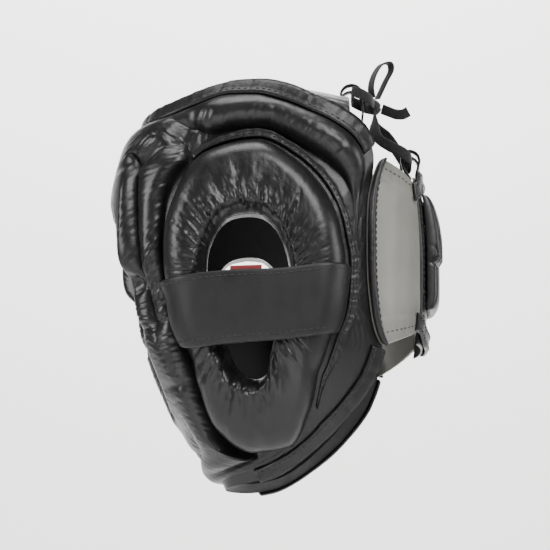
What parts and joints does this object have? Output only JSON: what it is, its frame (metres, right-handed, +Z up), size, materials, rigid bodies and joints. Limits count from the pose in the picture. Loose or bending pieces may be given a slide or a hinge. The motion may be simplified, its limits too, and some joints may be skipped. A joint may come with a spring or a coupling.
{
  "type": "full face boxing head guard",
  "caption": "Padded black leather head guard with brow, cheek and chin rolls, oval ear pads with a band across, rear wings, a back closure and a lace bow at the crown.",
  "frame": {"origin": "where the top of the wearer's head meets the underside of the crown flap, on the middle plane", "axes": "-Y forwards out of the face opening, +X to the wearer's left, +Z up, as worn on an upright head"},
  "size_m": [0.2272, 0.2441, 0.3199],
  "materials": {
    "black_leather": "semi gloss, soft sheen",
    "smooth_wing_leather": "smooth satin",
    "flange_leather": "satin",
    "black_woven_lace": "matte flat weave",
    "red_label_fabric": "matte"
  },
  "bodies": {
    "root": {"back_loop_left": "black_leather", "back_loop_right": "black_leather", "back_panel": "black_leather", "back_strap_bottom": "black_leather", "back_strap_top": "black_leather", "closure_tab": "black_leather", "crown_binding": "black_leather", "crown_flap": "black_leather", "crown_loop_left": "black_leather", "crown_loop_right": "black_leather", "ear_flange_left": "flange_leather", "ear_flange_right": "flange_leather", "ear_pad_left": "black_leather", "ear_pad_right": "black_leather", "ear_strap_left": "black_leather", "ear_strap_right": "black_leather", "inner_label_left": "red_label_fabric", "lace_bow": "black_woven_lace", "lace_end": "black_woven_lace", "lace_knot": "black_woven_lace", "lace_left": "black_woven_lace", "lace_right": "black_woven_lace", "lace_top_left": "black_woven_lace", "lace_top_right": "black_woven_lace", "neck_binding_left": "black_leather", "neck_binding_right": "black_leather", "padded_shell": "black_leather", "rear_wing_left": "smooth_wing_leather", "rear_wing_right": "smooth_wing_leather"}
  },
  "joints": []
}
